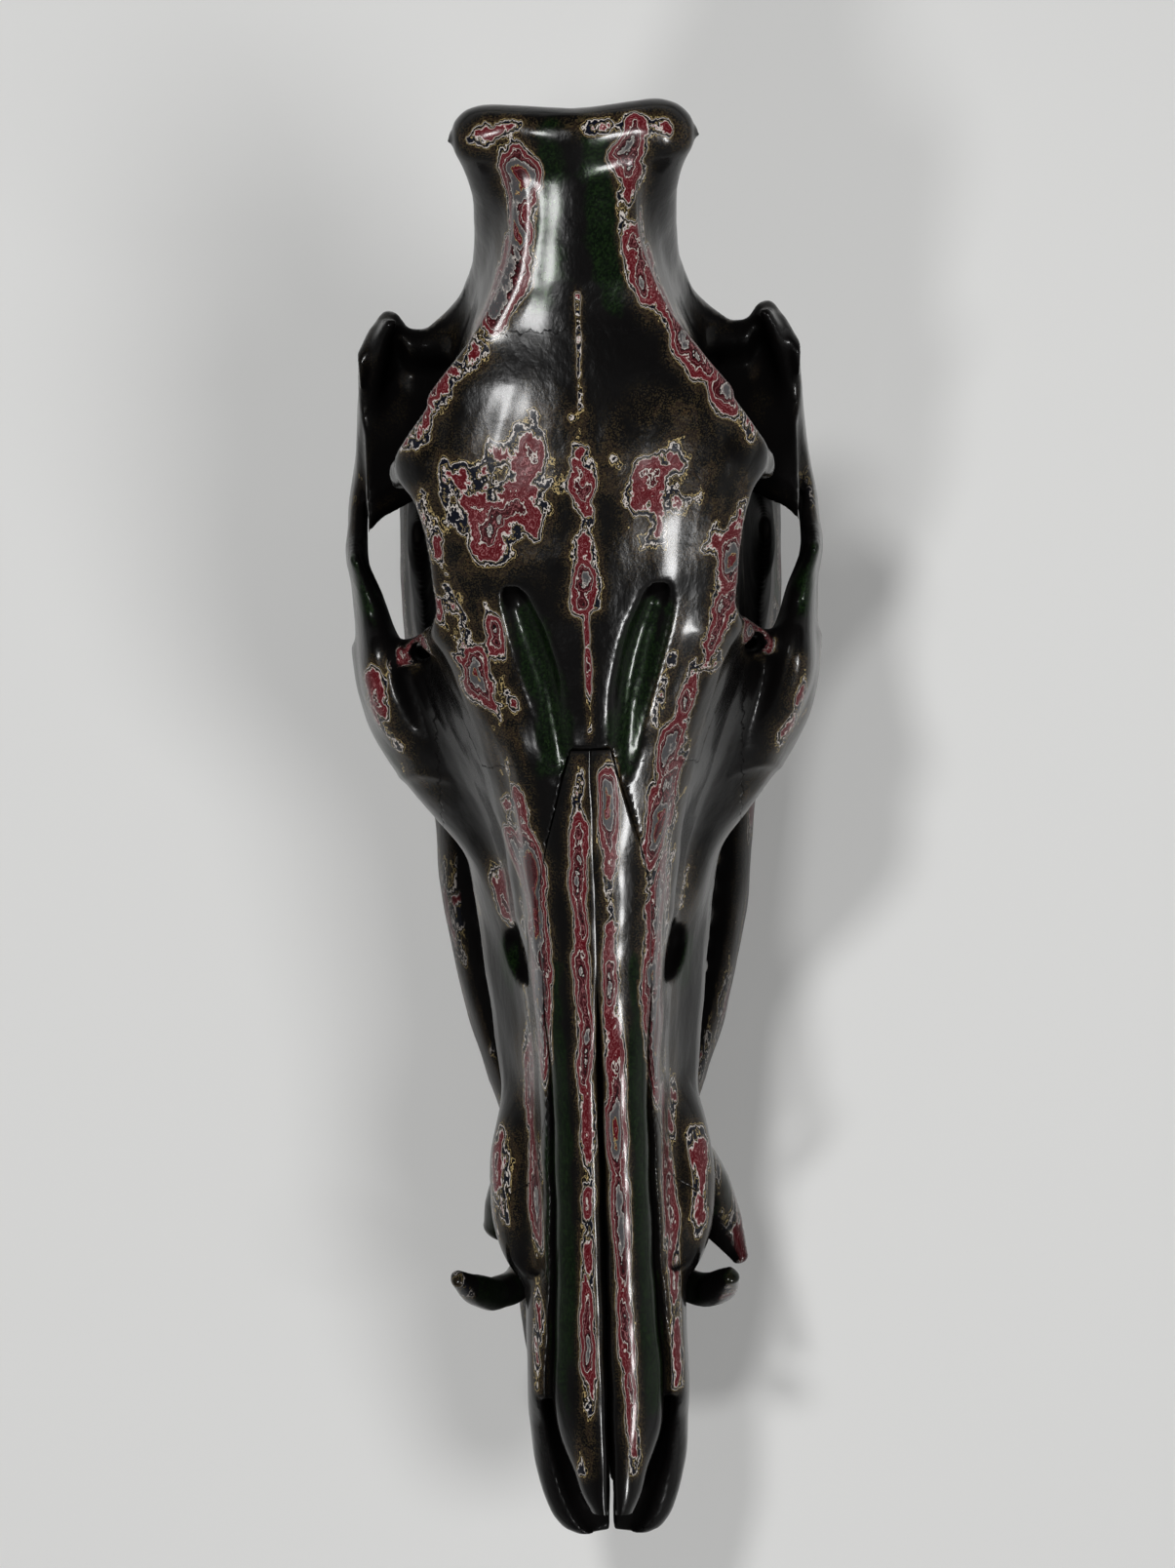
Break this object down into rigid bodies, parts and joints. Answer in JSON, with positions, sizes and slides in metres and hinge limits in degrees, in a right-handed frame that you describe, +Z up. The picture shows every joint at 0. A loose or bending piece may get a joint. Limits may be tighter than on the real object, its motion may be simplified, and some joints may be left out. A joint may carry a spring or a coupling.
{
  "type": "painted hog skull",
  "caption": "Hog skull resting on its lower jaw, long muzzle, curled tusks and flared cheek arches, finished in black gloss lacquer with sanded-through bands of red, cream and green.",
  "frame": {"origin": "on the floor, under the middle of the skull's length and width", "axes": "+Y from the nose to the nape, +Z up, +X to the animal's own left"},
  "size_m": [0.1138, 0.332, 0.2031],
  "materials": {
    "bone_lacquer": "black gloss lacquer over bone, rubbed through in thin bands of red, white, cream and metallic green",
    "tusk_lacquer": "black gloss lacquer with a green flake"
  },
  "bodies": {
    "root": {"braincase": "bone_lacquer", "frontal": "bone_lacquer", "nasal_left": "bone_lacquer", "nasal_right": "bone_lacquer", "premaxilla_left": "bone_lacquer", "premaxilla_right": "bone_lacquer", "maxilla_left": "bone_lacquer", "maxilla_right": "bone_lacquer", "zygomatic_left": "bone_lacquer", "zygomatic_right": "bone_lacquer", "mandible_left": "bone_lacquer", "mandible_right": "bone_lacquer", "tusk_upper_left": "tusk_lacquer", "tusk_upper_right": "tusk_lacquer", "tusk_lower_left": "tusk_lacquer", "tusk_lower_right": "tusk_lacquer"}
  },
  "joints": []
}
